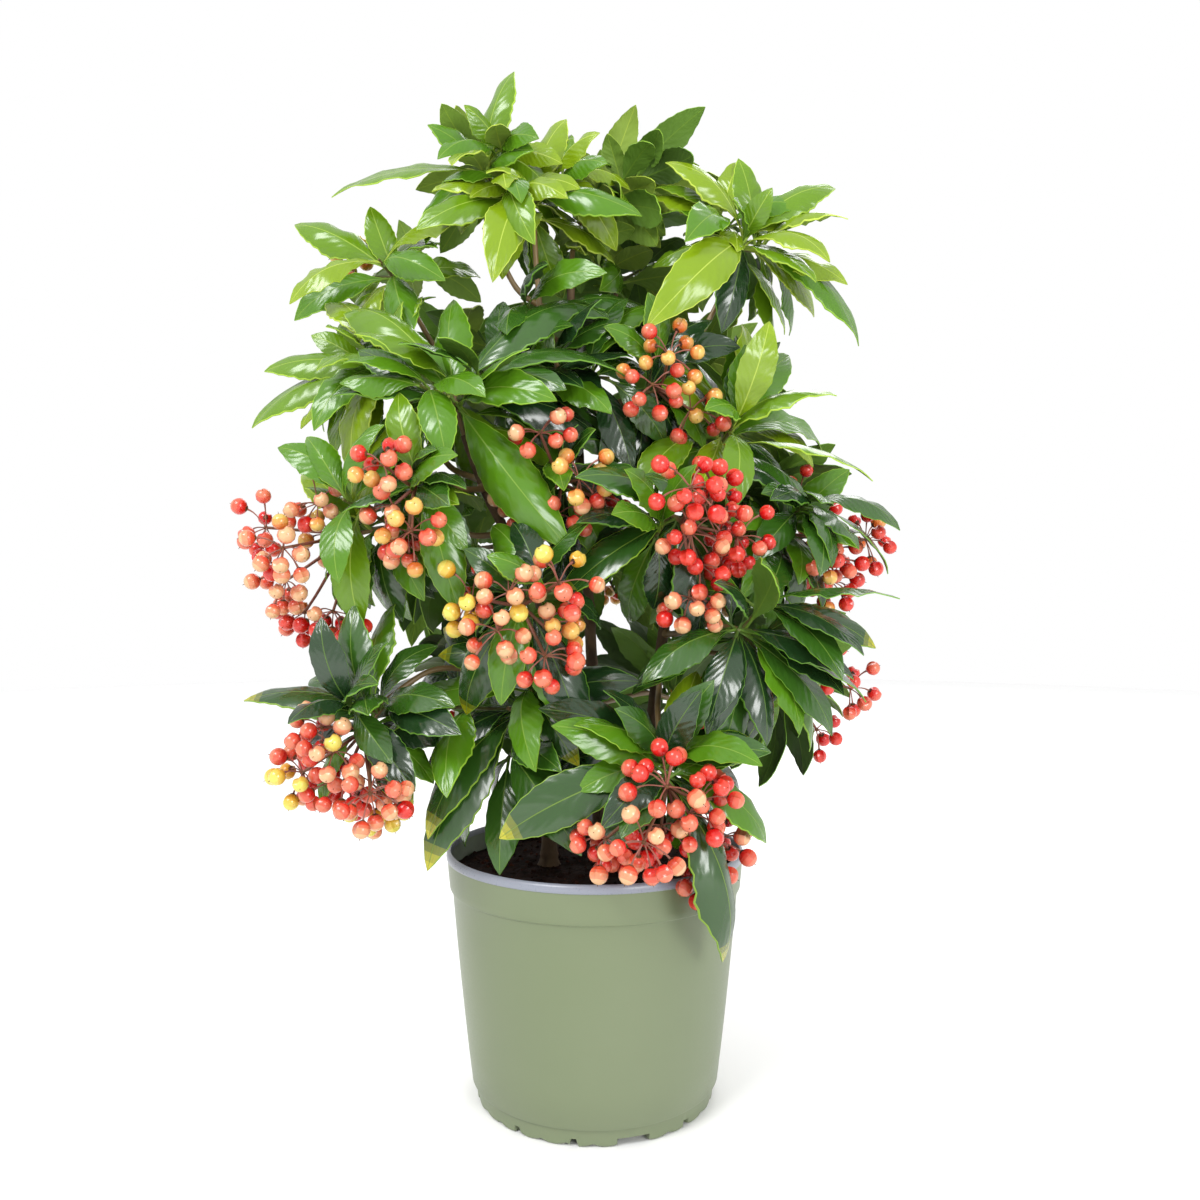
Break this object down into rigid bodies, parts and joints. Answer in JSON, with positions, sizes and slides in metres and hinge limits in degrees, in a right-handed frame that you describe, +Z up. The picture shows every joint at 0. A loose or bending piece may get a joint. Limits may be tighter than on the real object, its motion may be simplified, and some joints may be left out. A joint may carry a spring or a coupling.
{
  "type": "coral ardisia in a nursery pot",
  "caption": "Evergreen berry shrub with arching glossy leaves and hanging umbels of red and yellow berries, growing on slim woody stems from a round green plastic pot",
  "frame": {"origin": "centre of the flat foot under the pot, on the surface that the pot stands on", "axes": "+Z up along the pot's axis, -Y towards the viewer, +X to the viewer's right"},
  "size_m": [0.283, 0.2144, 0.451],
  "materials": {
    "pot_plastic": "satin",
    "soil": "rough",
    "bark": "rough",
    "twig_bark": "satin",
    "foliage": "glossy"
  },
  "bodies": {
    "root": {"pot": "pot_plastic", "soil": "soil", "stem_left": "bark", "stem_right": "bark", "stem_centre": "bark", "bough_crown_far_left": "twig_bark", "bough_crown_peak": "twig_bark", "bough_crown_top_left": "twig_bark", "bough_crown_top_back": "twig_bark", "bough_crown_right_high": "twig_bark", "bough_crown_left_high": "twig_bark", "bough_crown_back_left": "twig_bark", "bough_crown_back_right": "twig_bark", "bough_spray_left": "twig_bark", "bough_spray_left_low": "twig_bark", "bough_spray_front_low": "twig_bark", "bough_spray_front": "twig_bark", "bough_spray_centre": "twig_bark", "bough_spray_centre_right": "twig_bark", "bough_spray_right": "twig_bark", "bough_spray_under_left": "twig_bark", "bough_spray_under_right": "twig_bark", "bough_spray_upper_centre": "twig_bark", "bough_spray_right_low": "twig_bark", "bough_spray_back_left": "twig_bark", "bough_spray_back": "twig_bark", "bough_spray_back_right": "twig_bark", "bough_spray_back_low_left": "twig_bark", "bough_spray_back_low_right": "twig_bark", "bough_skirt_right": "twig_bark", "crown_left": "foliage", "crown_far_left": "foliage", "crown_peak": "foliage", "crown_top_left": "foliage", "crown_top_right": "foliage", "crown_top_back": "foliage", "crown_right_high": "foliage", "crown_left_high": "foliage", "crown_right": "foliage", "crown_middle": "foliage", "crown_back_left": "foliage", "crown_back_right": "foliage", "spray_left": "foliage", "spray_left_low": "foliage", "spray_front_low": "foliage", "spray_front": "foliage", "spray_centre": "foliage", "spray_centre_right": "foliage", "spray_right": "foliage", "spray_under_left": "foliage", "spray_under_right": "foliage", "spray_upper_centre": "foliage", "spray_right_low": "foliage", "spray_back_left": "foliage", "spray_back": "foliage", "spray_back_right": "foliage", "spray_back_low_left": "foliage", "spray_back_low_right": "foliage", "skirt_left": "foliage", "skirt_right": "foliage"}
  },
  "joints": []
}
